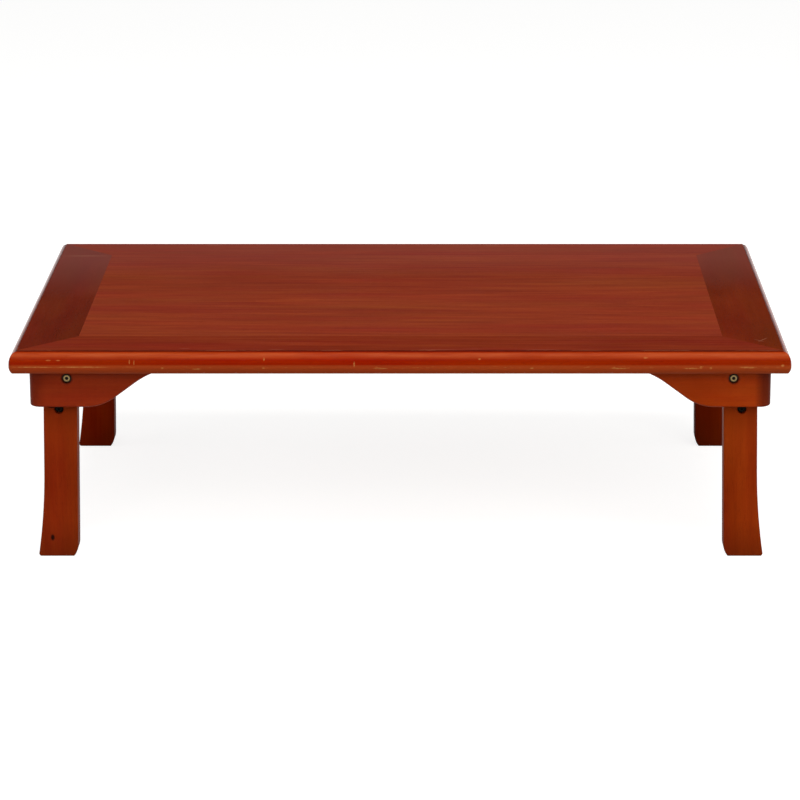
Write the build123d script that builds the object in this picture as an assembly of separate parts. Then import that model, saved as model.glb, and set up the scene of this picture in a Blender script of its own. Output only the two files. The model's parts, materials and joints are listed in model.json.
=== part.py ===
from build123d import *
import math
import os

"""A low folding table: a veneered top, four shaped corner brackets and two leg frames that fold flat.

The long side runs along X, the front faces -Y and Z is up. The origin is on the floor under the middle of
the table. A leg frame is two legs and a crossbar, and turns on two shoulder bolts that run in the brackets.
Sizes are in millimetres. A piece is made at the front left corner, and its fellows are its mirror images.
"""

# Overall sizes
table_length = 1200.0
table_depth = 750.0
table_height = 345.0

# Top: core board, plywood that closes it below, veneer over it
top_thickness = 35.0
veneer_thickness = 1.5
plywood_thickness = 2.5
border_width = 87.0

# Solid edge moulding round the top, flush with the core and so a veneer's thickness below the field
moulding_width = 12.0
moulding_corner_radius = 5.0
mitre_angle = 45.0
roll_height = 20.0
lower_round_width = 5.0
lower_round_height = 10.0
lower_round_radius = 14.0
tongue_depth = 8.0
tongue_height = 8.0
tongue_rise = 13.0

# Corner brackets under the top
frame_inset = 27.0
bracket_thickness = 24.0
bracket_height = 60.0
bracket_corner_radius = 18.0
bracket_flat_length = 87.0
bracket_belly_radius = 75.0
bracket_slope = 36.5
bracket_straight_length = 40.0
bracket_neck_radius = 130.0
bracket_tip_height = 5.0
bracket_edge_radius = 3.0

# End aprons and glue blocks
apron_thickness = 18.0
apron_edge_radius = 3.0
block_size = 18.0
block_length = 70.0
block_spacing = 190.0
block_chamfer = 5.0
blocks_per_apron = 3

# Dowels and screws that hold the under-frame
dowel_radius = 4.0
dowel_half_length = 15.0
apron_dowel_spacing = 28.0
screw_shank_radius = 2.0
screw_head_radius = 4.0
screw_head_height = 3.0
bracket_screw_insets = (28.0, 92.0, 136.0)
bracket_screw_wood = 24.0
bracket_screw_bite = 20.0
bracket_well_radius = 5.0
block_screw_bite = 10.0
block_screw_offset = 18.0

# Legs
leg_width = 53.5
leg_depth = 35.0
leg_gap = 1.0
leg_top_gap = 0.5
leg_outer_corner_radius = 10.0
leg_edge_radius = 2.5
leg_lean = 6.0
foot_flare = 15.0
foot_flare_height = 140.0
foot_corner_radius = 4.0
toe_width = 7.0
toe_height = 18.0

# Fold pivot: shoulder bolt, its washers and the insert in the leg
pivot_drop = 14.0
pivot_to_inner_face = 13.5
shoulder_radius = 4.0
running_clearance = 0.05
pivot_head_radius = 5.5
pivot_head_height = 4.0
pivot_socket_width = 5.0
pivot_socket_depth = 2.8
counterbore_radius = 7.75
counterbore_depth = 7.0
counterbore_clearance = 0.35
pivot_washer_thickness = 1.2
spacer_radius = 9.0
spacer_thickness = 1.0
thread_radius = 3.0
thread_short_of_end = 2.0
insert_radius = 4.5
insert_length = 20.0

# Crossbar between the two legs of a frame
crossbar_thickness = 22.0
crossbar_height = 45.0
crossbar_drop = 70.0
crossbar_to_outer_face = 24.0
crossbar_edge_radius = 3.0
crossbar_dowel_spacing = 28.0
joint_well_radius = 7.5
joint_well_depth = 10.0
joint_head_radius = 5.0
joint_head_height = 6.0
joint_socket_width = 5.0
joint_socket_depth = 3.0
joint_washer_radius = 7.0
joint_washer_thickness = 1.2
joint_bolt_clearance = 0.25
barrel_nut_radius = 5.0
barrel_nut_length = 16.0
barrel_nut_inset = 26.0
head_edge_radius = 0.6

# Heights and places worked out from the sizes above
underside = table_height - top_thickness
core_bottom = underside + plywood_thickness
core_top = table_height - veneer_thickness
panel_length = table_length - 2 * moulding_width
panel_depth = table_depth - 2 * moulding_width
tongue_middle = underside + tongue_rise + tongue_height / 2

frame_left = -table_length / 2 + frame_inset
frame_front = -table_depth / 2 + frame_inset
bracket_back = frame_front + bracket_thickness
bracket_middle = frame_front + bracket_thickness / 2
bracket_bottom = underside - bracket_height
apron_inner = frame_left + apron_thickness

leg_outer = apron_inner + leg_gap
leg_inner = leg_outer + leg_width
leg_front = bracket_back + spacer_thickness
leg_back = leg_front + leg_depth
leg_top = underside - leg_top_gap

pivot_x = leg_inner - pivot_to_inner_face
pivot_z = underside - pivot_drop
pivot_washer_seat = frame_front + counterbore_depth
crossbar_x = leg_outer + crossbar_to_outer_face
crossbar_z = underside - crossbar_drop
joint_washer_seat = leg_front + joint_well_depth
barrel_nut_y = leg_back + barrel_nut_inset
joint_bolt_end = barrel_nut_y + barrel_nut_radius


# Shapes that several pieces share
def bar_along_x(y, z, start, end, radius):
    """A round bar from x = start to x = end."""
    return Pos((start + end) / 2, y, z) * Cylinder(radius, end - start, rotation=(0, 90, 0))


def bar_along_y(x, z, start, end, radius):
    """A round bar from y = start to y = end."""
    return Pos(x, (start + end) / 2, z) * Cylinder(radius, end - start, rotation=(90, 0, 0))


def bar_along_z(x, y, start, end, radius):
    """A round bar from z = start to z = end."""
    return Pos(x, y, (start + end) / 2) * Cylinder(radius, end - start)


def board(x, y, z):
    """A square-edged board between two x, two y and two z values."""
    middle = Pos((x[0] + x[1]) / 2, (y[0] + y[1]) / 2, (z[0] + z[1]) / 2)
    return middle * Box(x[1] - x[0], y[1] - y[0], z[1] - z[0])


def cut_from_side(outline, front, thickness):
    """A board with this outline, drawn in X and Z, from y = front backwards."""
    return Pos(0, front, 0) * extrude(Plane.XZ * outline, thickness, dir=(0, 1, 0))


def back_too(*pieces):
    """The pieces and their mirror images at the back of the table."""
    return [*pieces, *(mirror(piece, about=Plane.XZ) for piece in pieces)]


def right_too(*pieces):
    """The pieces and their mirror images at the right end of the table."""
    return [*pieces, *(mirror(piece, about=Plane.YZ) for piece in pieces)]


def wood_screw(wood, bite):
    """A countersunk screw through this much wood, driven up from its head at z = 0."""
    length = wood + bite
    outline = Polyline(
        (0, 0),
        (screw_head_radius, 0),
        (screw_shank_radius, screw_head_height),
        (screw_shank_radius, length - screw_shank_radius),
        (0, length),
        close=True,
    )
    return revolve(Plane.XZ * make_face(outline), Axis.Z)


def socket_head(x, z, seat, radius, height, socket_width, socket_depth):
    """A round bolt head in front of y = seat, with an eased rim and a hexagon socket."""
    head = bar_along_y(x, z, seat - height, seat, radius)
    rim = head.edges().sort_by(Axis.Y)[0]
    head = fillet(rim, head_edge_radius)
    hexagon = Pos(x, z) * RegularPolygon(socket_width / 2, 6, major_radius=False)
    return head - cut_from_side(hexagon, seat - height, socket_depth)


def washer(x, z, start, thickness, radius, bore_radius):
    """A flat washer from y = start backwards."""
    end = start + thickness
    return bar_along_y(x, z, start, end, radius) - bar_along_y(x, z, start, end, bore_radius)


# Screws and dowels at the front left, which the boards are bored for
def bracket_lower_edge(inset):
    """The height of the bracket's lower edge, this far in from its end, as far as its straight part."""
    slope = math.radians(bracket_slope)
    belly_end = bracket_flat_length + bracket_belly_radius * math.sin(slope)
    if inset < belly_end:
        return bracket_bottom
    belly_rise = bracket_belly_radius * (1 - math.cos(slope))
    return bracket_bottom + belly_rise + (inset - belly_end) * math.tan(slope)


def bracket_screws():
    """The screws up through a bracket into the top."""
    screw = wood_screw(bracket_screw_wood, bracket_screw_bite)
    start = underside - bracket_screw_wood
    return [Pos(frame_left + inset, bracket_middle, start) * screw for inset in bracket_screw_insets]


def bracket_screw_wells():
    """The wide holes from a bracket's lower edge up to its screw heads."""
    start = bracket_bottom - bracket_edge_radius
    end = underside - bracket_screw_wood
    return [
        bar_along_z(frame_left + inset, bracket_middle, start, end, bracket_well_radius)
        for inset in bracket_screw_insets
        if bracket_lower_edge(inset) < end
    ]


def apron_dowels():
    """The two dowels between a bracket's back and the end of the apron."""
    x = frame_left + apron_thickness / 2
    middle = underside - bracket_height / 2
    heights = (middle - apron_dowel_spacing / 2, middle + apron_dowel_spacing / 2)
    start = bracket_back - dowel_half_length
    end = bracket_back + dowel_half_length
    return [bar_along_y(x, z, start, end, dowel_radius) for z in heights]


def crossbar_dowels():
    """The two dowels between a leg's back and the end of the crossbar."""
    heights = (crossbar_z - crossbar_dowel_spacing / 2, crossbar_z + crossbar_dowel_spacing / 2)
    start = leg_back - dowel_half_length
    end = leg_back + dowel_half_length
    return [bar_along_y(crossbar_x, z, start, end, dowel_radius) for z in heights]


def block_places():
    """The y of the middle of each glue block along an apron."""
    first = -block_spacing * (blocks_per_apron - 1) / 2
    return [first + block_spacing * i for i in range(blocks_per_apron)]


def block_screws():
    """For each block of the left apron, a screw up into the top and a screw out into the apron."""
    into_top = wood_screw(block_size, block_screw_bite)
    into_apron = Rot(0, -90, 0) * wood_screw(block_size, block_screw_bite)
    x = apron_inner + block_size / 2
    z = underside - block_size / 2
    screws = []
    for y in block_places():
        screws.append(Pos(x, y - block_screw_offset, underside - block_size) * into_top)
        screws.append(Pos(apron_inner + block_size, y + block_screw_offset, z) * into_apron)
    return screws


# Top
def core_board():
    """The board that carries everything, grooved round its edge for the mouldings and bored for the screws."""
    core = board(
        (-panel_length / 2, panel_length / 2),
        (-panel_depth / 2, panel_depth / 2),
        (core_bottom, core_top),
    )
    groove = Box(panel_length, panel_depth, tongue_height)
    groove -= Box(panel_length - 2 * tongue_depth, panel_depth - 2 * tongue_depth, tongue_height)
    core -= Pos(0, 0, tongue_middle) * groove
    return core - right_too(*back_too(*bracket_screws())) - right_too(*block_screws())


def backing_plywood():
    """The thin plywood under the core board, bored for the screws."""
    plywood = board(
        (-panel_length / 2, panel_length / 2),
        (-panel_depth / 2, panel_depth / 2),
        (underside, core_bottom),
    )
    return plywood - right_too(*back_too(*bracket_screws())) - right_too(*block_screws())


def centre_veneer():
    """The field of the top, with its grain along X."""
    sheet = Box(panel_length - 2 * border_width, panel_depth - 2 * border_width, veneer_thickness)
    return Pos(0, 0, core_top + veneer_thickness / 2) * sheet


def mitred_strip(length, depth, width, bottom, thickness):
    """A flat strip along the front of a rectangle of this length and depth, mitred at both ends."""
    outline = Polyline(
        (-length / 2, -depth / 2),
        (length / 2, -depth / 2),
        (length / 2 - width, -depth / 2 + width),
        (-length / 2 + width, -depth / 2 + width),
        close=True,
    )
    return Pos(0, 0, bottom) * extrude(make_face(outline), thickness)


def border_veneer(length, depth):
    """The border strip along the front of a top of this size, inside its mouldings."""
    inner_length = length - 2 * moulding_width
    inner_depth = depth - 2 * moulding_width
    return mitred_strip(inner_length, inner_depth, border_width, core_top, veneer_thickness)


def moulding_section():
    """The section in Y and Z, with y = 0 at the panel's edge: a rolled top, a flat side and a rounded lip."""
    roll_bottom = core_top - roll_height
    lip_top = underside + lower_round_height
    lip_edge = -moulding_width + lower_round_width
    with BuildLine() as outline:
        Line((0, underside), (0, core_top))
        EllipticalCenterArc((0, roll_bottom), moulding_width, roll_height, start_angle=90, arc_size=90)
        Line((-moulding_width, roll_bottom), (-moulding_width, lip_top))
        RadiusArc((-moulding_width, lip_top), (lip_edge, underside), -lower_round_radius)
        Line((lip_edge, underside), (0, underside))
    return make_face(outline.line)


def edge_moulding(length, depth):
    """The front moulding of a top of this size, tongued into the core and mitred round a small corner radius."""
    corner_x = length / 2 - moulding_corner_radius
    corner_y = -depth / 2 + moulding_corner_radius
    panel_edge = -depth / 2 + moulding_width
    section = moulding_section()
    tongue = Pos(tongue_depth / 2, tongue_middle) * Rectangle(tongue_depth, tongue_height)
    run = extrude(Plane.YZ * (section + tongue), 2 * corner_x, dir=(1, 0, 0))
    mitre = mitred_strip(length, depth, moulding_width + tongue_depth, underside, top_thickness)
    moulding = (Pos(-corner_x, panel_edge, 0) * run) & mitre

    rounded = Pos(-moulding_width + moulding_corner_radius / 2, underside + top_thickness / 2) * Rectangle(
        moulding_corner_radius, top_thickness
    )
    corner_section = Pos(corner_x, panel_edge, 0) * (Plane.YZ * (section & rounded))
    corner = revolve(corner_section, Axis((corner_x, corner_y, 0), (0, 0, 1)), mitre_angle)
    return moulding + corner + mirror(corner, about=Plane.YZ)


def to_left(front_piece):
    """A piece made for the front, turned to the left end."""
    return Rot(0, 0, -90) * front_piece


# Under-frame
def bracket_outline():
    """The bracket from the front: flat below, then a belly, a straight slope and a hollow neck to its tip."""
    slope = math.radians(bracket_slope)
    along = Vector(math.cos(slope), math.sin(slope))
    down_slope = Vector(math.sin(slope), -math.cos(slope))
    belly_start = Vector(frame_left + bracket_flat_length, bracket_bottom)
    belly_centre = belly_start + Vector(0, bracket_belly_radius)
    slope_start = belly_centre + down_slope * bracket_belly_radius
    slope_end = slope_start + along * bracket_straight_length
    neck_centre = slope_end + down_slope * bracket_neck_radius
    tip_z = underside - bracket_tip_height
    tip_angle = math.asin((tip_z - neck_centre.Y) / bracket_neck_radius)
    tip_x = neck_centre.X - bracket_neck_radius * math.cos(tip_angle)
    with BuildLine() as outline:
        Line((frame_left, underside), (frame_left, bracket_bottom))
        Line((frame_left, bracket_bottom), belly_start)
        RadiusArc(belly_start, slope_start, -bracket_belly_radius)
        Line(slope_start, slope_end)
        RadiusArc(slope_end, (tip_x, tip_z), bracket_neck_radius)
        Line((tip_x, tip_z), (tip_x, underside))
        Line((tip_x, underside), (frame_left, underside))
    return make_face(outline.line)


def corner_bracket():
    """The front left bracket, with a round outer corner, eased lower edges and its bores."""
    bracket = cut_from_side(bracket_outline(), frame_front, bracket_thickness)
    corner = bracket.edges().filter_by(Axis.Z).group_by(Axis.X)[0].sort_by(Axis.Y)[0]
    bracket = fillet(corner, bracket_corner_radius)
    front_face = bracket.faces().filter_by(Axis.Y).sort_by(Axis.Y)[0]
    back_face = bracket.faces().filter_by(Axis.Y).sort_by(Axis.Y)[-1]
    below_top = underside - bracket_edge_radius
    outlines = [*front_face.edges(), *back_face.edges()]
    upright = bracket.edges().filter_by(Axis.Z)
    lower_edges = [edge for edge in outlines if edge.center().Z < below_top and edge not in upright]
    bracket = fillet(lower_edges, bracket_edge_radius)
    bracket -= bar_along_y(pivot_x, pivot_z, frame_front, bracket_back, shoulder_radius + running_clearance)
    bracket -= bar_along_y(pivot_x, pivot_z, frame_front, pivot_washer_seat, counterbore_radius)
    return bracket - bracket_screw_wells() - bracket_screws() - apron_dowels()


def end_apron():
    """The board across the left end between two brackets, with eased lower edges and its bores."""
    apron = board((frame_left, apron_inner), (bracket_back, -bracket_back), (bracket_bottom, underside))
    lower_edges = apron.edges().filter_by(Axis.Y).group_by(Axis.Z)[0]
    apron = fillet(lower_edges, apron_edge_radius)
    return apron - back_too(*apron_dowels()) - block_screws()


def glue_blocks():
    """The blocks in the corner of the left apron and the top, chamfered on their free edge."""
    blocks = []
    for y in block_places():
        block = board(
            (apron_inner, apron_inner + block_size),
            (y - block_length / 2, y + block_length / 2),
            (underside - block_size, underside),
        )
        free_edge = block.edges().filter_by(Axis.Y).group_by(Axis.Z)[0].sort_by(Axis.X)[-1]
        blocks.append(chamfer(free_edge, block_chamfer) - block_screws())
    return blocks


# Leg frames
def leg_outline():
    """The leg from the front: upright along the apron, then leaning outwards, and swept out to the foot."""
    down_inner_side = Vector(-leg_lean, toe_height - leg_top)
    toe_start = Vector(leg_inner, leg_top) + down_inner_side
    toe_end = (toe_start.X - toe_width, 0)
    flare_lean = leg_lean * (bracket_bottom - foot_flare_height) / (leg_top - toe_height)
    flare_start = (leg_outer - flare_lean, foot_flare_height)
    flare_end = (leg_outer - foot_flare, 0)
    with BuildLine() as outline:
        Line((leg_inner, leg_top), (leg_outer, leg_top))
        Line((leg_outer, leg_top), (leg_outer, bracket_bottom))
        Line((leg_outer, bracket_bottom), flare_start)
        TangentArc(flare_start, flare_end, tangent=down_inner_side)
        Line(flare_end, toe_end)
        TangentArc(toe_start, toe_end, tangent=down_inner_side)
        Line(toe_start, (leg_inner, leg_top))
    blank = make_face(outline.line)
    top_corner = blank.vertices().group_by(Axis.Y)[-1].sort_by(Axis.X)[0]
    blank = fillet(top_corner, leg_outer_corner_radius)
    foot_corner = blank.vertices().group_by(Axis.Y)[0].sort_by(Axis.X)[0]
    blank = fillet(foot_corner, foot_corner_radius)

    turning_radius = leg_top - pivot_z
    above_pivot = Pos(pivot_x + leg_width / 2, pivot_z + turning_radius / 2) * Rectangle(leg_width, turning_radius)
    rounded_top = Pos(pivot_x, pivot_z) * Circle(turning_radius) & blank
    return blank - above_pivot + rounded_top


def leg():
    """The front left leg, eased all round and bored for the insert, the crossbar's bolt and the dowels."""
    leg = cut_from_side(leg_outline(), leg_front, leg_depth)
    sides = leg.faces().filter_by(Axis.Y)
    leg = fillet(sides.edges(), leg_edge_radius)
    leg -= bar_along_y(pivot_x, pivot_z, leg_front, leg_front + insert_length, insert_radius)
    leg -= bar_along_y(crossbar_x, crossbar_z, leg_front, joint_washer_seat, joint_well_radius)
    return leg - crossbar_bolt_bore() - crossbar_dowels()


def crossbar_bolt_bore():
    """The hole for the crossbar's bolt through the leg and into the bar."""
    radius = thread_radius + joint_bolt_clearance
    return bar_along_y(crossbar_x, crossbar_z, joint_washer_seat, joint_bolt_end, radius)


def barrel_nut():
    """The cross nut in the bar that the crossbar's bolt screws into."""
    half = barrel_nut_length / 2
    nut = bar_along_x(barrel_nut_y, crossbar_z, crossbar_x - half, crossbar_x + half, barrel_nut_radius)
    return nut - bar_along_y(crossbar_x, crossbar_z, leg_back, joint_bolt_end, thread_radius)


def crossbar():
    """The bar between the two left legs, eased along its length, with its nut holes open on the inner side."""
    inner = crossbar_x + crossbar_thickness / 2
    bar = board(
        (crossbar_x - crossbar_thickness / 2, inner),
        (leg_back, -leg_back),
        (crossbar_z - crossbar_height / 2, crossbar_z + crossbar_height / 2),
    )
    bar = fillet(bar.edges().filter_by(Axis.Y), crossbar_edge_radius)
    nut_start = crossbar_x - barrel_nut_length / 2
    nut_hole = bar_along_x(barrel_nut_y, crossbar_z, nut_start, inner, barrel_nut_radius)
    return bar - back_too(crossbar_bolt_bore(), nut_hole, *crossbar_dowels())


def crossbar_bolt():
    """The socket-head bolt in the leg's well, from its washer to the far side of the barrel nut."""
    seat = joint_washer_seat - joint_washer_thickness
    head = socket_head(
        crossbar_x,
        crossbar_z,
        seat,
        joint_head_radius,
        joint_head_height,
        joint_socket_width,
        joint_socket_depth,
    )
    return head + bar_along_y(crossbar_x, crossbar_z, seat, joint_bolt_end, thread_radius)


def crossbar_washer():
    """The washer under the crossbar bolt's head, on the floor of the leg's well."""
    start = joint_washer_seat - joint_washer_thickness
    return washer(
        crossbar_x, crossbar_z, start, joint_washer_thickness, joint_washer_radius, thread_radius
    )


def pivot_bolt():
    """The shoulder bolt that a leg turns on: it is screwed into the leg and turns in the bracket."""
    seat = pivot_washer_seat - pivot_washer_thickness
    head = socket_head(
        pivot_x,
        pivot_z,
        seat,
        pivot_head_radius,
        pivot_head_height,
        pivot_socket_width,
        pivot_socket_depth,
    )
    shoulder = bar_along_y(pivot_x, pivot_z, seat, leg_front, shoulder_radius)
    thread_end = leg_front + insert_length - thread_short_of_end
    return head + shoulder + bar_along_y(pivot_x, pivot_z, leg_front, thread_end, thread_radius)


def pivot_washer():
    """The washer under the pivot bolt's head, on the floor of the bracket's counterbore."""
    start = pivot_washer_seat - pivot_washer_thickness
    radius = counterbore_radius - counterbore_clearance
    return washer(pivot_x, pivot_z, start, pivot_washer_thickness, radius, shoulder_radius)


def pivot_spacer():
    """The friction washer between the bracket and the leg."""
    return washer(pivot_x, pivot_z, bracket_back, spacer_thickness, spacer_radius, shoulder_radius)


def thread_insert():
    """The threaded bush in the leg that the pivot bolt screws into."""
    return washer(pivot_x, pivot_z, leg_front, insert_length, insert_radius, thread_radius)


def write(name, *pieces):
    """Write one node: a single piece, or like pieces that share it."""
    solids = [solid for piece in pieces for solid in piece.solids()]
    export_step(Compound(solids), f"parts/{name}.step")


def write_left_and_right(name, *pieces):
    """Write the left end's node and the right end's, which is its mirror image."""
    write(f"{name}_left", *pieces)
    write(f"{name}_right", *(mirror(piece, about=Plane.YZ) for piece in pieces))


os.makedirs("parts", exist_ok=True)

write("core_board", core_board())
write("backing_plywood", backing_plywood())
write("centre_veneer", centre_veneer())
for name, make in (("border_veneer", border_veneer), ("edge_moulding", edge_moulding)):
    front, back = back_too(make(table_length, table_depth))
    write(f"{name}_front", front)
    write(f"{name}_back", back)
    write_left_and_right(name, to_left(make(table_depth, table_length)))

bracket_front, bracket_rear = back_too(corner_bracket())
write_left_and_right("corner_bracket_front", bracket_front)
write_left_and_right("corner_bracket_back", bracket_rear)
write_left_and_right("end_apron", end_apron())
write("glue_blocks", *right_too(*glue_blocks()))
write("block_screws", *right_too(*block_screws()))
write("bracket_screws", *right_too(*back_too(*bracket_screws())))
write("apron_dowels", *right_too(*back_too(*apron_dowels())))

leg_at_front, leg_at_back = back_too(leg())
write_left_and_right("leg_front", leg_at_front)
write_left_and_right("leg_back", leg_at_back)
write_left_and_right("crossbar", crossbar())
write_left_and_right("crossbar_dowels", *back_too(*crossbar_dowels()))
write_left_and_right("crossbar_bolts", *back_too(crossbar_bolt()))
write_left_and_right("crossbar_washers", *back_too(crossbar_washer()))
write_left_and_right("barrel_nuts", *back_too(barrel_nut()))
write_left_and_right("pivot_bolts", *back_too(pivot_bolt()))
write_left_and_right("pivot_washers", *back_too(pivot_washer()))
write_left_and_right("pivot_spacers", *back_too(pivot_spacer()))
write_left_and_right("thread_inserts", *back_too(thread_insert()))
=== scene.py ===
import json
import math

import bmesh
import bpy
from mathutils import Matrix, Vector


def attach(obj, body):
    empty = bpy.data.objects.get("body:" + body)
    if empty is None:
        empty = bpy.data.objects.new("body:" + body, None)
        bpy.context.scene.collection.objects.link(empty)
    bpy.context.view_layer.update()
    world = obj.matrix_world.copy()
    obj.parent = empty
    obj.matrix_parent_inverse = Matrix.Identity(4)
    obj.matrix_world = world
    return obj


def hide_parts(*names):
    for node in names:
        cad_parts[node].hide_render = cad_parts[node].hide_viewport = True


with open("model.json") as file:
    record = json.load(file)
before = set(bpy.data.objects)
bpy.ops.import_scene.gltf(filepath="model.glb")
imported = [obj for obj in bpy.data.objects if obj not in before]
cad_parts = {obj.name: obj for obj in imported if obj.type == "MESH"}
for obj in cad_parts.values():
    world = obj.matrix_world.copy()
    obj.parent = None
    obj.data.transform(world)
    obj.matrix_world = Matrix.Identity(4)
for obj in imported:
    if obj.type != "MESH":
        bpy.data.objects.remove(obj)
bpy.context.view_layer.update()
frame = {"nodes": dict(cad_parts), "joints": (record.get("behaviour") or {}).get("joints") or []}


# ---- Core board and backing plywood ------------------------------------------------------------------
# The flat core of the top, glued up from softwood staves, and the thin lauan plywood glued below it to
# keep it flat. The plywood's face is what is seen from underneath: a thin reddish sealer over long open
# pores.

mm = 0.001


def linear(hex_colour):
    """An sRGB hex colour as the linear RGBA that the shader works in."""
    channels = [int(hex_colour[i:i + 2], 16) / 255 for i in (0, 2, 4)]
    return (*[c / 12.92 if c <= 0.04045 else ((c + 0.055) / 1.055) ** 2.4 for c in channels], 1.0)


def add(material, kind, inputs=(), stops=(), **settings):
    """Adds one shader node and gives back its outputs.

    Inputs go by name, or in the node's own order. Each is a number, a hex colour or another node's output.
    The stops are a colour ramp's.
    """
    node = material.node_tree.nodes.new("ShaderNode" + kind)
    for name, value in settings.items():
        setattr(node, name, value)
    pairs = inputs.items() if isinstance(inputs, dict) else enumerate(inputs)
    for name, value in pairs:
        if isinstance(value, bpy.types.NodeSocket):
            material.node_tree.links.new(value, node.inputs[name])
        else:
            node.inputs[name].default_value = linear(value) if isinstance(value, str) else value
    for index, (position, colour) in enumerate(stops):
        element = node.color_ramp.elements[index] if index < 2 else node.color_ramp.elements.new(position)
        element.position = position
        element.color = linear(colour)
    return node.outputs


def blank_material(name):
    """An empty material of that name."""
    material = bpy.data.materials.new(name)
    material.use_nodes = True
    material.node_tree.nodes.clear()
    return material


def board_space(material, grain, shift):
    """Object coordinates with X turned along the grain. The shift in metres gives a board its own figure."""
    turns = {"X": (0, 0, 0), "Y": (0, 0, -math.pi / 2), "Z": (0, math.pi / 2, 0)}
    place = add(material, "TexCoord")["Object"]
    return add(material, "Mapping", {"Vector": place, "Rotation": turns[grain], "Location": shift})[0]


def streaks(material, board, along_mm, across_mm, detail=2.0, roughness=0.5):
    """Noise drawn out along the grain: streaks of about that length and width."""
    scale = (1000 / along_mm, 1000 / across_mm, 1000 / across_mm)
    drawn_out = add(material, "Mapping", {"Vector": board, "Scale": scale})[0]
    noise = {"Vector": drawn_out, "Scale": 1.0, "Detail": detail, "Roughness": roughness}
    return add(material, "TexNoise", noise)["Fac"]


def growth_rings(material, board, pith, tilt, ring_mm, waver):
    """Year rings round a pith beside the board, at a slight angle to it, so that they show as long arches."""
    wave_radians = 20  # how far a wave texture of scale 1 turns over one metre
    scale = 2 * math.pi / wave_radians / (ring_mm * mm)
    leaning = add(material, "Mapping", {"Vector": board, "Location": pith, "Rotation": (0, *tilt)})[0]
    # The small detail scale makes the rings waver slowly, over some decimetres.
    rings = {"Vector": leaning, "Scale": scale, "Distortion": waver, "Detail": 2.0, "Detail Scale": 0.035}
    shape = {"wave_type": "RINGS", "rings_direction": "X", "wave_profile": "SAW"}
    return add(material, "TexWave", rings, **shape)["Fac"]


def weighed(material, parts):
    """Adds up (share, output) pairs."""
    total = 0.0
    for share, tone in parts:
        total = add(material, "Math", (tone, share, total), operation="MULTIPLY_ADD")[0]
    return total


def surface(material, relief, relief_mm, shading):
    """Puts shader inputs and a relief of that depth on the shader, and links it to the output."""
    normal = add(material, "Bump", {"Height": relief, "Strength": 1.0, "Distance": relief_mm * mm})[0]
    shaded = add(material, "BsdfPrincipled", {**shading, "Normal": normal})[0]
    add(material, "OutputMaterial", {"Surface": shaded})


def unfinished_wood(name):
    """Sanded wood that no stain or lacquer covers: pale and dry, with soft rings.

    Single fibres are too fine to show, so the fine streaks stand for bundles of them, 1.5 mm wide.
    """
    material = blank_material(name)
    board = board_space(material, "X", (0, 0, 0))
    rings = growth_rings(material, board, pith=(0, 0.09, 0.04), tilt=(0.01, 0.02), ring_mm=4, waver=3)
    fibres = streaks(material, board, 80, 1.5, 3)
    tone = weighed(material, [(0.6, rings), (0.4, fibres)])
    pale_tones = [(0.2, "b98d58"), (0.5, "d0a870"), (0.8, "dcbb88")]
    colour = add(material, "ValToRGB", (tone,), stops=pale_tones)[0]
    roughness = add(material, "MapRange", (fibres, 0.3, 0.7, 0.6, 0.75))[0]
    surface(material, fibres, 0.1, {"Base Color": colour, "Roughness": roughness})
    return material


def sealed_plywood(name, shift):
    """Rotary-cut lauan with a thin flat sealer: broad watery bands and many open pores, little gloss.

    Real fibres and pores are too fine to show, so both are drawn wider.
    """
    material = blank_material(name)
    board = board_space(material, "X", shift)
    bands = streaks(material, board, 700, 60)
    fibres = streaks(material, board, 60, 1.2, 3)
    pores = add(material, "MapRange", (streaks(material, board, 14, 0.5, 1), 0.60, 0.68, 0, 1))[0]
    tone = weighed(material, [(0.6, bands), (0.4, fibres)])
    lauan_tones = [(0.30, "6f4026"), (0.48, "8c5633"), (0.70, "a87048")]
    colour = add(material, "ValToRGB", (tone,), stops=lauan_tones)[0]
    colour = add(material, "MixRGB", (pores, colour, "4a2716"))[0]
    roughness = add(material, "MapRange", (fibres, 0.3, 0.7, 0.5, 0.65))[0]
    relief = weighed(material, [(0.3, fibres), (-0.7, pores)])
    surface(material, relief, 0.12, {"Base Color": colour, "Roughness": roughness})
    return material


def finish_node(node, material):
    """Gives a CAD node its material."""
    slots = frame["nodes"][node].data.materials
    slots.clear()
    slots.append(material)


finish_node("core_board", unfinished_wood("Softwood_stave_core"))
finish_node("backing_plywood", sealed_plywood("Sealed_lauan_plywood", (0.3, 0.1, 0)))


# ---- Veneers of the top ------------------------------------------------------------------------------
# One wide field with its grain along the table and four mitred border strips, 1.5 mm thick, glued to the
# core, stained red-brown and lacquered. The short strips took up more stain, and all the edges the most.

def reach(node, axis):
    """From where to where a CAD node reaches along an axis, in mm."""
    places = [corner["XYZ".index(axis)] / mm for corner in frame["nodes"][node].bound_box]
    return round(min(places), 3), round(max(places), 3)


def axes_of(material):
    """The X, Y and Z of a point of the piece, in metres."""
    place = add(material, "TexCoord")["Object"]
    return add(material, "SeparateXYZ", {"Vector": place})


def past(material, coordinate, distance):
    """How far in metres a point lies past a distance in mm, on either side of the table's middle."""
    from_middle = add(material, "Math", (coordinate,), operation="ABSOLUTE")[0]
    return add(material, "Math", (from_middle, distance * mm), operation="SUBTRACT")[0]


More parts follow.
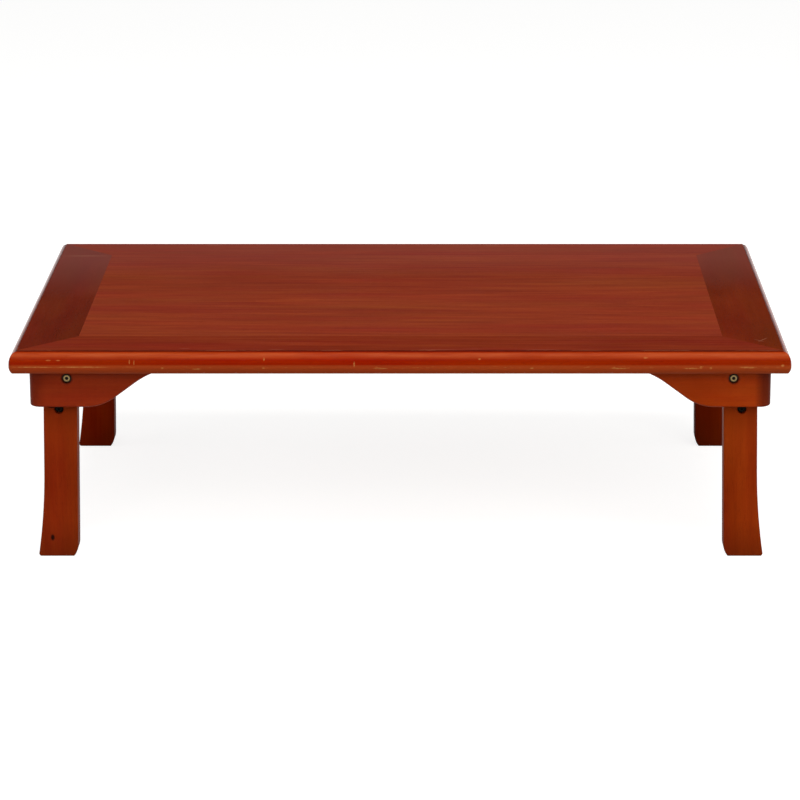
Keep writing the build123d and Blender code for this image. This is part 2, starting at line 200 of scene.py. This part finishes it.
def stained_wood(material, board, tones, bands=(900, 150), shares=(0.3, 0.06, 0.4, 0.3)):
    """The colour and relief of stained wood, from shares of soft bands, year rings, streaks and fibres.

    Real pores are 0.1 to 0.3 mm wide and fibres far finer, too fine to show, so both are drawn coarser.
    """
    ring = growth_rings(material, board, pith=(0, 0.05, 0.11), tilt=(0.012, 0.02), ring_mm=7, waver=4)
    band = streaks(material, board, *bands, detail=3)
    figure = streaks(material, board, 140, 10, 3, 0.55)
    fibres = streaks(material, board, 50, 1.1, 4, 0.6)
    pores = add(material, "MapRange", (streaks(material, board, 11, 0.4, 1), 0.62, 0.70, 0, 0.35))[0]
    tone = weighed(material, list(zip(shares, (band, ring, figure, fibres))))
    middle = sum(shares) / 2
    spread = 0.14
    stops = [(middle - spread, tones[0]), (middle, tones[1]), (middle + spread, tones[2])]
    colour = add(material, "ValToRGB", (tone,), stops=stops)[0]
    # The stain drifts a little between red and brown along a board. A hue of 0.5 leaves it as it is.
    patches = streaks(material, board, 400, 50, 4)
    hue = add(material, "MapRange", (patches, 0.3, 0.7, 0.4958, 0.5042))[0]
    colour = add(material, "HueSaturation", {"Hue": hue, "Color": colour})[0]
    colour = add(material, "MixRGB", (pores, colour, "2a0a04"))[0]
    return colour, weighed(material, [(0.6, fibres), (-0.6, pores)])


def lacquer(material, colour, relief, gloss=0.9, index=1.12, dull=0.10, wear=None):
    """Clear lacquer, gone where the wear is 1. A low index keeps faces deep, with a shine at a slant."""
    haze_per_metre = 6.0
    place = add(material, "TexCoord")["Object"]
    haze = add(material, "TexNoise", {"Vector": place, "Scale": haze_per_metre, "Detail": 2.0})["Fac"]
    weight = gloss if wear is None else add(material, "MapRange", (wear, 0.0, 1.0, gloss, 0.05))[0]
    surface(material, relief, 0.010, {
        "Base Color": colour,
        "Roughness": 0.6,
        "Specular IOR Level": 0.0,
        "Coat Weight": weight,
        "Coat Roughness": add(material, "MapRange", (haze, 0.3, 0.7, dull - 0.01, dull + 0.03))[0],
        "Coat IOR": index,
    })


panel_half_length = reach("core_board", "X")[1]
panel_half_width = reach("core_board", "Y")[1]


def beyond_panel(material):
    """How far in metres a point lies outside the rectangle of the veneered field and borders."""
    axes = axes_of(material)
    past_end = past(material, axes["X"], panel_half_length)
    past_side = past(material, axes["Y"], panel_half_width)
    return add(material, "Math", (past_end, past_side), operation="MAXIMUM")[0]


def marks(material, places):
    """Soft-edged marks at (x, y, z), (length, width, height) and an angle about Z, in mm and degrees."""
    space = add(material, "TexCoord")["Object"]
    total = 0.0
    for middle, size, angle in places:
        spot = add(material, "Mapping", {
            "Vector": space,
            "Location": [value * mm for value in middle],
            "Rotation": (0, 0, math.radians(angle)),
            "Scale": [value / 2 * mm for value in size],
        }, vector_type="TEXTURE")[0]
        ball = add(material, "TexGradient", {"Vector": spot}, gradient_type="SPHERICAL")["Fac"]
        total = add(material, "Math", (ball, total), operation="MAXIMUM")[0]
    return add(material, "MapRange", (total, 0.0, 0.5, 0.0, 1.0))[0]


def veneer(name, grain, shift, tones, scratches=(), painted_sheen=(120, 310, 0.13, "b06060"), **figure):
    """Sliced veneer, stained and lacquered: a painted reflection lightens it towards the back, dark at its
    outer edge, pale in its scratches.

    The painted reflection grows from its first to its second place in mm, up to its share of its colour.
    """
    material = blank_material(name)
    board = board_space(material, grain, shift)
    colour, relief = stained_wood(material, board, tones, **figure)

    # Painted reflection: a pale sheen is mixed into the colour towards the back of the table.
    sheen_start, sheen_end, sheen_share, sheen_colour = painted_sheen
    depth = axes_of(material)["Y"]
    painted_sheen_mask = add(material, "MapRange", (depth, sheen_start * mm, sheen_end * mm, 0.0, sheen_share))[0]
    colour = add(material, "MixRGB", (painted_sheen_mask, colour, sheen_colour))[0]

    beyond = beyond_panel(material)
    edge_line = add(material, "MapRange", (beyond, -0.4 * mm, -0.1 * mm, 0.0, 0.9))[0]
    colour = add(material, "MixRGB", (edge_line, colour, "4a1206"))[0]

    # Beside that dark line the front rim is rubbed pale in places.
    rim_begins = add(material, "MapRange", (beyond, -1.9 * mm, -1.2 * mm, 0.0, 1.0))[0]
    rim_ends = add(material, "MapRange", (beyond, -0.5 * mm, -0.3 * mm, 1.0, 0.0))[0]
    rim = add(material, "Math", (rim_begins, rim_ends), operation="MULTIPLY")[0]
    at_front = add(material, "MapRange", (depth, -340 * mm, -350 * mm, 0.0, 0.5))[0]
    rim = add(material, "Math", (rim, at_front), operation="MULTIPLY")[0]
    touched = streaks(material, board, 70, 400, 4, 0.65)
    lightening = add(material, "MapRange", (touched, 0.50, 0.60, 0.0, 1.0))[0]
    lightening = add(material, "Math", (rim, lightening), operation="MULTIPLY")[0]
    colour = add(material, "MixRGB", (lightening, colour, "c47a58"))[0]

    if scratches:
        paleness = 0.32
        scratched = add(material, "Math", (marks(material, scratches), paleness), operation="MULTIPLY")[0]
        colour = add(material, "MixRGB", (scratched, colour, "c08468"))[0]
    lacquer(material, colour, relief)
    return material


top_z = reach("centre_veneer", "Z")[1]
front_scratches = [
    ((60, -359, top_z), (80, 1.6, 4), 0.6),
    ((110, -355, top_z), (46, 1.2, 4), -1.0),
    ((218, -358, top_z), (62, 1.4, 4), 0.4),
    ((-190, -357, top_z), (30, 1.3, 4), 1.2),
    ((-330, -352, top_z), (22, 1.2, 4), -3),
]
back_scratches = [((-330, 352, top_z), (40, 2.5, 4), 2), ((150, 349, top_z), (30, 2.5, 4), -2)]
left_scratches = [((-545, 271, top_z), (90, 5, 4), 0)]
right_scratches = [((562, -298, top_z), (36, 2.0, 4), 56), ((556, -303, top_z), (26, 1.6, 4), -50)]
short_strip = {"bands": (300, 90), "shares": (0.5, 0, 0.1, 0.12)}
finish_node("centre_veneer",
            veneer("Stained_veneer_field", "X", (0.2, 0, 0), ("762714", "842f16", "92391a")))
finish_node("border_veneer_front",
            veneer("Stained_veneer_long_front", "X", (0.9, 0.5, 0), ("6c1e0a", "7a260e", "883114"),
                   front_scratches))
finish_node("border_veneer_back",
            veneer("Stained_veneer_long_back", "X", (0.1, 0.5, 0), ("742510", "802c10", "8e3514"),
                   back_scratches))
# The short strips get a stronger painted reflection towards the back.
finish_node("border_veneer_left",
            veneer("Stained_veneer_short_left", "Y", (0.4, 0.2, 0), ("541a02", "621c04", "72260c"),
                   left_scratches, (-30, 250, 0.44, "8f4e48"), **short_strip))
finish_node("border_veneer_right",
            veneer("Stained_veneer_short_right", "Y", (0.7, 0.3, 0), ("5a1b00", "681e00", "782906"),
                   right_scratches, (20, 260, 0.38, "904e44"), **short_strip))


# ---- Edge mouldings ----------------------------------------------------------------------------------
# Four solid hardwood mouldings, each tongued into the core, rolled over its face and mitred at the
# corners. The step below the veneer is darker: stain pooled there, and painted shade of the step. The
# roll's crown carries a painted highlight. Knees and carrying have rubbed the arris below the roll bare.

moulding_underside = reach("edge_moulding_front", "Z")[0]


def moulding(name, grain, shift, index, lightening, step_width, bare_spots):
    """Lacquered hardwood with a dark step of that width in mm, a painted highlight on the crown, a rubbed
    arris and bare spots.
    """
    material = blank_material(name)
    board = board_space(material, grain, shift)
    tones = ("761600", "821c00", "902800")
    colour, relief = stained_wood(material, board, tones, bands=(500, 22), shares=(0.4, 0.05, 0.1, 0.15))

    # Darker in the step below the veneer: stain pooled there, and painted shade of the step.
    step = add(material, "MapRange", (beyond_panel(material), 0.4 * mm, step_width * mm, 0.9, 0.0))[0]
    colour = add(material, "MixRGB", (step, colour, "3e0e06"))[0]

    height = axes_of(material)["Z"]
    roll_foot = [(moulding_underside + rise) * mm for rise in (16, 13)]
    below_roll = add(material, "MapRange", (height, *roll_foot, 0.0, 0.36))[0]
    colour = add(material, "MixRGB", (below_roll, colour, "a05024"))[0]

    # Painted highlight: the crown of the roll is lightened by the given share, broken up in streaks.
    crown_low = [(moulding_underside + rise) * mm for rise in (23, 28.5)]
    crown_high = [(moulding_underside + rise) * mm for rise in (31.5, 33.2)]
    highlight_begins = add(material, "MapRange", (height, *crown_low, 0.0, lightening))[0]
    highlight_ends = add(material, "MapRange", (height, *crown_high, 1.0, 0.0))[0]
    painted_crown_highlight = add(material, "Math", (highlight_begins, highlight_ends), operation="MULTIPLY")[0]
    highlight_breakup = add(material, "MapRange", (streaks(material, board, 80, 8, 3, 0.6), 0.35, 0.65, 0.6, 1.25))[0]
    painted_crown_highlight = add(material, "Math", (painted_crown_highlight, highlight_breakup), operation="MULTIPLY")[0]
    colour = add(material, "MixRGB", (painted_crown_highlight, colour, "aa4c22"))[0]

    arris_height = (moulding_underside + 11.5) * mm
    over_arris = add(material, "Math", (height, arris_height), operation="SUBTRACT")[0]
    from_arris = add(material, "Math", (over_arris,), operation="ABSOLUTE")[0]
    near_arris = add(material, "MapRange", (from_arris, 0.6 * mm, 2.4 * mm, 1.0, 0.0))[0]
    chipped = add(material, "MapRange", (streaks(material, board, 14, 1.4, 4, 0.7), 0.58, 0.68, 0.0, 0.35))[0]
    worn_line = add(material, "Math", (near_arris, chipped), operation="MULTIPLY")[0]
    torn = add(material, "MapRange", (streaks(material, board, 5, 1.2, 4, 0.8), 0.40, 0.58, 0.1, 0.65))[0]
    bare = add(material, "Math", (marks(material, bare_spots), torn), operation="MULTIPLY")[0]
    wear = add(material, "Math", (worn_line, bare), operation="MAXIMUM")[0]
    colour = add(material, "MixRGB", (wear, colour, "b07840"))[0]
    relief = weighed(material, [(1.0, relief), (-0.8, wear)])
    lacquer(material, colour, relief, index=index, dull=0.2, wear=wear)
    return material


front_bare_spots = [
    ((-538, -375, 332), (10, 8, 2.4), 0),
    ((-523, -375, 332), (8, 8, 2.2), 0),
    ((-490, -375, 321.5), (96, 8, 2.8), 0),
    ((-560, -375, 321.5), (74, 8, 2.2), 0),
    ((-414, -375, 330), (2.6, 8, 9), 0),
    ((-407, -375, 329), (2.4, 8, 10), 0),
    ((-405, -373, 342), (3, 6, 3), 0),
    ((-364, -375, 320), (5, 8, 3), 0),
    ((-311, -375, 318.5), (16, 8, 2.8), 0),
    ((-208, -374, 334), (3, 8, 7), 0),
    ((-209, -375, 320), (5, 8, 3), 0),
    ((-70, -375, 326), (3, 8, 11), 0),
    ((-30, -375, 319.5), (26, 8, 2.6), 0),
    ((122, -374, 334), (5, 8, 3), 0),
    ((202, -375, 320), (7, 8, 2.6), 0),
    ((328, -375, 320.5), (6, 8, 4), 0),
    ((336, -375, 319.5), (34, 8, 2.4), 0),
    ((376, -374, 336), (9, 8, 3.4), 0),
    ((446, -375, 319.5), (30, 8, 2.4), 0),
    ((461, -375, 321), (5, 8, 5), 0),
    ((476, -375, 320), (5, 8, 4), 0),
    ((533, -375, 321), (30, 8, 3.4), 0),
    ((586, -375, 324), (6, 10, 5), 0),
]
# The long mouldings shine less than the short ones and carry more painted highlight on the crown, and their
# dark step is narrower.
mouldings = (
    ("front", "X", (0.1, 0.7, 0.1), 1.09, 0.5, 1.6, front_bare_spots),
    ("back", "X", (0.6, 0.2, 0.3), 1.09, 0.4, 1.6, [((300, 375, 320.5), (60, 8, 4), 0)]),
    ("left", "Y", (0.3, 0.4, 0.2), 1.5, 0.1, 4.5, [((-600, -80, 320.5), (8, 70, 4), 0)]),
    ("right", "Y", (0.8, 0.1, 0.5), 1.5, 0.1, 4.5, [((600, 120, 320.5), (8, 50, 4), 0)]),
)
for side, *look in mouldings:
    finish_node("edge_moulding_" + side, moulding("Stained_hardwood_moulding_" + side, *look))


# ---- Corner brackets and end aprons ------------------------------------------------------------------
# Each corner has a shaped bracket of solid hardwood under the top, and an apron joins the two brackets of
# an end. The round outer corner is darker: the end grain it lays open took up more stain, and painted shade
# is added where it turns from the light. The glue blocks behind the aprons, and all the dowels, are left
# bare.

frame_end = reach("corner_bracket_front_right", "X")[1]
frame_top = reach("corner_bracket_front_right", "Z")[1]
fold_axis = frame["joints"][0]["pos_m"]


def bolt_distance(material):
    """How far in metres a point lies from the nearest fold bolt's axis, seen along it."""
    axes = axes_of(material)
    beside = past(material, axes["X"], abs(fold_axis[0]) / mm)
    above = add(material, "Math", (axes["Z"], fold_axis[2]), operation="SUBTRACT")[0]
    squares = weighed(material, [(beside, beside), (above, above)])
    return add(material, "Math", (squares,), operation="SQRT")[0]


def frame_wood(name, grain, shift, tones, end_shade):
    """Lacquered hardwood of the under-frame, with darker outer corners, painted shadow under the top and
    painted shade by the bolts.
    """
    material = blank_material(name)
    board = board_space(material, grain, shift)
    colour, relief = stained_wood(material, board, tones, bands=(160, 60), shares=(0.5, 0.03, 0.1, 0.12))
    axes = axes_of(material)

    # The outer corners are darker: end grain that took up more stain, and painted shade where the corner
    # turns from the light.
    from_middle = add(material, "Math", (axes["X"],), operation="ABSOLUTE")[0]
    corner = [(frame_end - inset) * mm for inset in (27, 13)]
    darker_corner = add(material, "MapRange", (from_middle, *corner, 0.0, end_shade))[0]
    colour = add(material, "MixRGB", (darker_corner, colour, "4c1408"))[0]

    # Painted shadow of the top along the upper edge.
    shaded_strip = [(frame_top - drop) * mm for drop in (14, 2)]
    under_top = add(material, "MapRange", (axes["Z"], *shaded_strip, 0.0, 0.18))[0]
    colour = add(material, "MixRGB", (under_top, colour, "4c1408"))[0]

    # Painted shade in a ring round each fold bolt.
    painted_bolt_shade = add(material, "MapRange", (bolt_distance(material), 7.5 * mm, 10.5 * mm, 0.65, 0.0))[0]
    colour = add(material, "MixRGB", (painted_bolt_shade, colour, "2c0c06"))[0]
    lacquer(material, colour, relief, gloss=0.6)
    return material


under_frame = (
    ("left", ("6e1f06", "7e280a", "8c300e"), 0.3),
    ("right", ("822702", "923004", "a03a0a"), 0.75),
)
for end, tones, shade in under_frame:
    for face in ("front", "back"):
        finish_node(f"corner_bracket_{face}_{end}",
                    frame_wood(f"Stained_hardwood_bracket_{face}_{end}", "X", (0.3, 0.2, 0.4), tones, shade))
    finish_node("end_apron_" + end,
                frame_wood("Stained_hardwood_apron_" + end, "Y", (0.5, 0.1, 0.2), tones, shade))
bare_wood = unfinished_wood("Bare_hardwood")
finish_node("glue_blocks", bare_wood)
finish_node("apron_dowels", bare_wood)


# ---- Legs and crossbars ------------------------------------------------------------------------------
# Solid hardwood legs with upright grain, painted lighter up by the table and darker towards the foot, and
# between each two a plain bar with bare dowels.

def leg_wood(name, grain, shift, tones, dark_marks=()):
    """Lacquered hardwood of a leg frame, with painted light up by the table, darker towards the floor, and
    dark marks.
    """
    material = blank_material(name)
    board = board_space(material, grain, shift)
    colour, relief = stained_wood(material, board, tones, bands=(220, 40), shares=(0.45, 0.03, 0.1, 0.15))
    height = axes_of(material)["Z"]
    # Painted light: the upper part is lightened towards the table.
    painted_light_up_top = add(material, "MapRange", (height, 140 * mm, 250 * mm, 0.0, 0.4))[0]
    colour = add(material, "MixRGB", (painted_light_up_top, colour, "a03c10"))[0]
    # Darker towards the foot.
    darker_at_foot = add(material, "MapRange", (height, 60 * mm, 0.0, 0.0, 0.4))[0]
    colour = add(material, "MixRGB", (darker_at_foot, colour, "3c1206"))[0]
    if dark_marks:
        colour = add(material, "MixRGB", (marks(material, dark_marks), colour, "240c06"))[0]
    lacquer(material, colour, relief, gloss=0.2, dull=0.2)
    return material


# A knot in the left front foot, and a dark patch beside the recess of that leg's crossbar bolt.
left_leg_marks = [((-546, -322, 31), (8, 14, 13), 0), ((-541, -322, 244.5), (15, 8, 7), 0)]
usual_tones = ("6a1d06", "782508", "862f0c")
legs = (
    ("front_left", (0.3, 0.2, 0.4), usual_tones, left_leg_marks),
    ("front_right", (0.1, 0.6, 0.2), ("6e1f04", "7e2906", "8c330a"), ()),
    ("back_left", (0.3, 0.2, 0.4), ("7a2000", "8a2400", "982e04"), ()),
    ("back_right", (0.1, 0.6, 0.2), ("5a1600", "681a00", "762202"), ()),
)
for place, shift, tones, dark_marks in legs:
    finish_node("leg_" + place, leg_wood("Stained_hardwood_leg_" + place, "Z", shift, tones, dark_marks))
for end in ("left", "right"):
    finish_node("crossbar_" + end,
                leg_wood("Stained_hardwood_crossbar_" + end, "Y", (0.2, 0.1, 0.5), usual_tones))
    finish_node("crossbar_dowels_" + end, bare_wood)


# ---- Fold and crossbar bolts -------------------------------------------------------------------------
# Socket-head bolts: brass-plated and long dulled at the fold, where each turns in its bracket and is
# screwed into a brass insert in the leg, and blackened where they draw the legs onto the crossbar by its
# barrel nuts.

def mottling(material, colour_low, colour_high):
    """The mottling of dulled plating and its colour. Real spots are finer than these, too fine to show."""
    spots_per_metre = 700.0
    place = add(material, "TexCoord")["Object"]
    mottle = add(material, "TexNoise", {"Vector": place, "Scale": spots_per_metre, "Detail": 4.0})["Fac"]
    stops = [(0.35, colour_low), (0.65, colour_high)]
    return mottle, add(material, "ValToRGB", (mottle,), stops=stops)[0]


def plated_metal(name, colour_low, colour_high, metallic, rough, shine=0.5):
    """Plated steel that has dulled: fine mottling, no clear mirror."""
    material = blank_material(name)
    mottle, colour = mottling(material, colour_low, colour_high)
    surface(material, mottle, 0.02, {
        "Base Color": colour,
        "Roughness": add(material, "MapRange", (mottle, 0.3, 0.7, rough - 0.08, rough + 0.08))[0],
        "Metallic": metallic,
        "Specular IOR Level": shine,
    })
    return material


def bolt_brass(name):
    """Dulled brass plating, with painted black shade in the 5 mm socket and round the rim of the 11 mm head.
    """
    material = blank_material(name)
    mottle, colour = mottling(material, "705f40", "967f55")
    radius = bolt_distance(material)
    # Painted shade: black, not metallic, in the socket and round the rim of the head.
    in_socket = add(material, "MapRange", (radius, 2.4 * mm, 2.8 * mm, 1.0, 0.0))[0]
    at_rim = add(material, "MapRange", (radius, 4.6 * mm, 5.2 * mm, 0.0, 0.9))[0]
    painted_bolt_shade = add(material, "Math", (in_socket, at_rim), operation="MAXIMUM")[0]
    colour = add(material, "MixRGB", (painted_bolt_shade, colour, "140d08"))[0]
    surface(material, mottle, 0.02, {
        "Base Color": colour,
        "Roughness": add(material, "MapRange", (mottle, 0.3, 0.7, 0.36, 0.5))[0],
        "Metallic": add(material, "MapRange", (painted_bolt_shade, 0.0, 1.0, 1.0, 0.0))[0],
        "Specular IOR Level": 0.1,
    })
    return material


brass = bolt_brass("Dull_brass_plated_steel")
zinc = plated_metal("Zinc_plated_steel", "8c8c88", "b4b4ae", metallic=1.0, rough=0.42)
# The washers are painted dark, as painted shade of the counterbores they sit in.
shaded_zinc = plated_metal("Zinc_washer_painted_dark", "2e1c10", "4a3220", metallic=0.6, rough=0.55)
black = plated_metal("Blackened_steel", "100a08", "1c1410", metallic=0.1, rough=0.7, shine=0.1)
hardware = (
    (brass, ("pivot_bolts_", "thread_inserts_")),
    (shaded_zinc, ("pivot_washers_",)),
    (zinc, ("pivot_spacers_", "barrel_nuts_")),
    (black, ("crossbar_bolts_", "crossbar_washers_")),
)
for metal, nodes in hardware:
    for node in nodes:
        finish_node(node + "left", metal)
        finish_node(node + "right", metal)


# ---- Wood screws -------------------------------------------------------------------------------------
# Zinc-plated countersunk screws with a coarse rolled thread, driven with a cross-head driver: three up
# through each corner bracket into the top, and two through each glue block, one into the top and one
# into the apron.

def turned(shape, outline, turns=1, pitch=0.0):
    """Spins an outline of (radius, height) in mm about Z; a pitch in mm draws it out into a helix."""
    steps = 24
    points = [shape.verts.new((radius * mm, 0, height * mm)) for radius, height in outline]
    edges = [shape.edges.new(pair) for pair in zip(points, points[1:])]
    bmesh.ops.spin(
        shape,
        geom=points + edges,
        cent=(0, 0, 0),
        axis=(0, 0, 1),
        dvec=(0, 0, pitch * mm / steps),
        angle=2 * math.pi * turns,
        steps=steps * turns,
        use_merge=not pitch,
    )


def wood_screw(length):
    """A screw that long in mm, from the middle of its head at the origin up to its point."""
    head_radius, head_height = 4, 3
    neck_radius, core_radius = 1.4, 1.3
    point_radius, point_length = 0.05, 4
    touching = 1e-6
    shape = bmesh.new()
    turned(shape, [
        (head_radius, 0),
        (neck_radius, head_height),
        (core_radius, length - point_length),
        (point_radius, length),
    ])
    bmesh.ops.remove_doubles(shape, verts=shape.verts, dist=touching)
    rim = [edge for edge in shape.edges if edge.is_boundary and edge.verts[0].co.z < touching]

    arm, half_slot, cross_depth, taper = 2.1, 0.5, 2, 0.5
    cross = [(arm, half_slot), (half_slot, half_slot), (half_slot, arm)]
    cross += [(-x, y) for x, y in reversed(cross)]
    cross += [(-x, -y) for x, y in cross]
    corners = [shape.verts.new((x * mm, y * mm, 0)) for x, y in cross]
    mouth = [shape.edges.new(pair) for pair in zip(corners, corners[1:] + corners[:1])]
    bmesh.ops.triangle_fill(shape, use_beauty=True, edges=rim + mouth)

    walls = bmesh.ops.extrude_edge_only(shape, edges=mouth)["geom"]
    bottom = [part for part in walls if isinstance(part, bmesh.types.BMVert)]
    bmesh.ops.scale(shape, vec=(taper, taper, 1), verts=bottom)
    bmesh.ops.translate(shape, vec=(0, 0, cross_depth * mm), verts=bottom)
    open_edges = [part for part in walls if isinstance(part, bmesh.types.BMEdge) and part.is_boundary]
    bmesh.ops.triangle_fill(shape, use_beauty=True, edges=open_edges)

    pitch = 1.8
    root_radius, crest_radius, thread_start, half_thread = 1.25, 2, 3.6, 0.5
    unthreaded = 9
    turns = int((length - unthreaded) / pitch)
    turned(shape, [
        (root_radius, thread_start),
        (crest_radius, thread_start + half_thread),
        (root_radius, thread_start + 2 * half_thread),
    ], turns, pitch)
    bmesh.ops.recalc_face_normals(shape, faces=shape.faces)
    mesh = bpy.data.meshes.new("Wood_screw")
    shape.to_mesh(mesh)
    shape.free()
    return mesh


def wood_screws(name, node, length, places):
    """Stands real screws in for a CAD node: one at each (x, y, z) in mm, leaning over by so many degrees."""
    together = bmesh.new()
    pattern = wood_screw(length)
    cross_turn = 0.7  # radians from one screw's cross to the next one's
    for index, (middle, lean) in enumerate(places):
        screw = pattern.copy()
        driven = Matrix.Rotation(math.radians(lean), 4, "Y") @ Matrix.Rotation(index * cross_turn, 4, "Z")
        screw.transform(Matrix.Translation(Vector(middle) * mm) @ driven)
        together.from_mesh(screw)
        bpy.data.meshes.remove(screw)
    bpy.data.meshes.remove(pattern)
    mesh = bpy.data.meshes.new(name)
    together.to_mesh(mesh)
    together.free()
    mesh.shade_smooth()
    mesh.set_sharp_from_angle(angle=math.radians(30))
    mesh.materials.append(zinc)
    screws = bpy.data.objects.new(name, mesh)
    bpy.context.scene.collection.objects.link(screws)
    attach(screws, "table_top")
    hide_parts(node)


bracket_head, bracket_point = reach("bracket_screws", "Z")
bracket_middle = abs(sum(reach("corner_bracket_front_right", "Y"))) / 2
bracket_screw_insets = (28, 92, 136)
left_places = [inset - frame_end for inset in bracket_screw_insets]
right_places = [-x for x in reversed(left_places)]
wood_screws("Bracket_wood_screws", "bracket_screws", bracket_point - bracket_head,
            [((x, y, bracket_head), 0)
             for x in left_places + right_places for y in (-bracket_middle, bracket_middle)])

block_head, block_point = reach("block_screws", "Z")
block_low, block_high = reach("glue_blocks", "Z")
block_size = block_high - block_low
block_outer = reach("glue_blocks", "X")[1]
block_spacing, screw_offset = 190, 18
blocks = [(side, step * block_spacing) for side in (-1, 1) for step in (-1, 0, 1)]
into_top = [((side * (block_outer - block_size / 2), y - screw_offset, block_head), 0) for side, y in blocks]
into_aprons = [((side * (block_outer - block_size), y + screw_offset, block_low + block_size / 2), side * 90)
               for side, y in blocks]
wood_screws("Block_wood_screws", "block_screws", block_point - block_head, into_top + into_aprons)


# ---- Studio ------------------------------------------------------------------------------------------
# A white paper floor, a broad soft lamp in front, one above the front edge, weaker ones at the sides, and
# a dim room that is white at the horizon and below it.

floor_half_side = 30
floor_shape = bmesh.new()
bmesh.ops.create_grid(floor_shape, x_segments=1, y_segments=1, size=floor_half_side)
floor_mesh = bpy.data.meshes.new("Floor")
floor_shape.to_mesh(floor_mesh)
floor_shape.free()
floor = bpy.data.objects.new("Floor", floor_mesh)
bpy.context.scene.collection.objects.link(floor)

# The paper glows only where it is seen or mirrored, and lights nothing, so the shadow on it stays.
paper_glow = 0.84
paper = blank_material("White_paper_floor")
rays = add(paper, "LightPath")
seen = add(paper, "Math", (rays["Is Camera Ray"], rays["Is Glossy Ray"]), operation="MAXIMUM")[0]
seen = add(paper, "Math", (seen, rays["Is Transmission Ray"]), operation="MAXIMUM")[0]
matt = add(paper, "BsdfDiffuse", {"Color": "b4b3b0"})[0]
glow = add(paper, "Emission", {"Color": "ffffff", "Strength": paper_glow})[0]
both = add(paper, "AddShader", (matt, glow))[0]
shown = add(paper, "MixShader", (seen, matt, both))[0]
add(paper, "OutputMaterial", {"Surface": shown})
floor.data.materials.append(paper)


def lamp(name, place, aim, width, height, power):
    """A soft box at place, facing aim."""
    light = bpy.data.lights.new(name, "AREA")
    light.shape = "RECTANGLE"
    light.size = width
    light.size_y = height
    light.energy = power
    made = bpy.data.objects.new(name, light)
    made.location = place
    made.rotation_euler = (Vector(aim) - Vector(place)).to_track_quat("-Z", "Y").to_euler()
    bpy.context.scene.collection.objects.link(made)


lamp("Front_soft_box", (0.9, -3.8, 2.5), (0, 0, 0.2), 6.0, 2.0, 110)
lamp("Top_soft_box", (0.2, -1.7, 3.6), (0, 0, 0.3), 3.0, 2.0, 116)
lamp("Side_soft_box_left", (-3.6, -0.6, 1.3), (0, 0, 0.25), 2.4, 1.8, 18)
lamp("Side_soft_box_right", (3.6, -0.6, 1.3), (0, 0, 0.25), 2.4, 1.8, 18)

world = bpy.data.worlds.new("Studio_room")
world.use_nodes = True
world.node_tree.nodes.clear()
bpy.context.scene.world = world
direction = add(world, "TexCoord")["Generated"]
height = add(world, "SeparateXYZ", {"Vector": direction})["Z"]
room_tones = [(0.02, "ffffff"), (0.08, "f0f0f0"), (0.19, "3a3a3a"), (0.6, "3a3a3a"), (1.0, "b0b0b0")]
room = add(world, "ValToRGB", (height,), stops=room_tones)[0]
light = add(world, "Background", {"Color": room, "Strength": 1.0})[0]
add(world, "OutputWorld", {"Surface": light})

# The lens and the optical centre are counted in pixels of a picture 800 pixels wide.
picture_px = 800
focal_px = 3359.53
centre_px = 438.92
tilt_down = 15.6401
sensor_mm = 36
camera_data = bpy.data.cameras.new("Camera")
camera_data.sensor_width = sensor_mm
camera_data.lens = focal_px / picture_px * sensor_mm
camera_data.shift_x = (picture_px / 2 - centre_px) / picture_px
camera_data.clip_end = 200
camera = bpy.data.objects.new("Camera", camera_data)
camera.location = (0.0597242, -5.3402936, 1.6595417)
camera.rotation_euler = (math.radians(90 - tilt_down), 0, 0)
bpy.context.scene.collection.objects.link(camera)
bpy.context.scene.camera = camera
bpy.context.scene.view_settings.view_transform = "Standard"
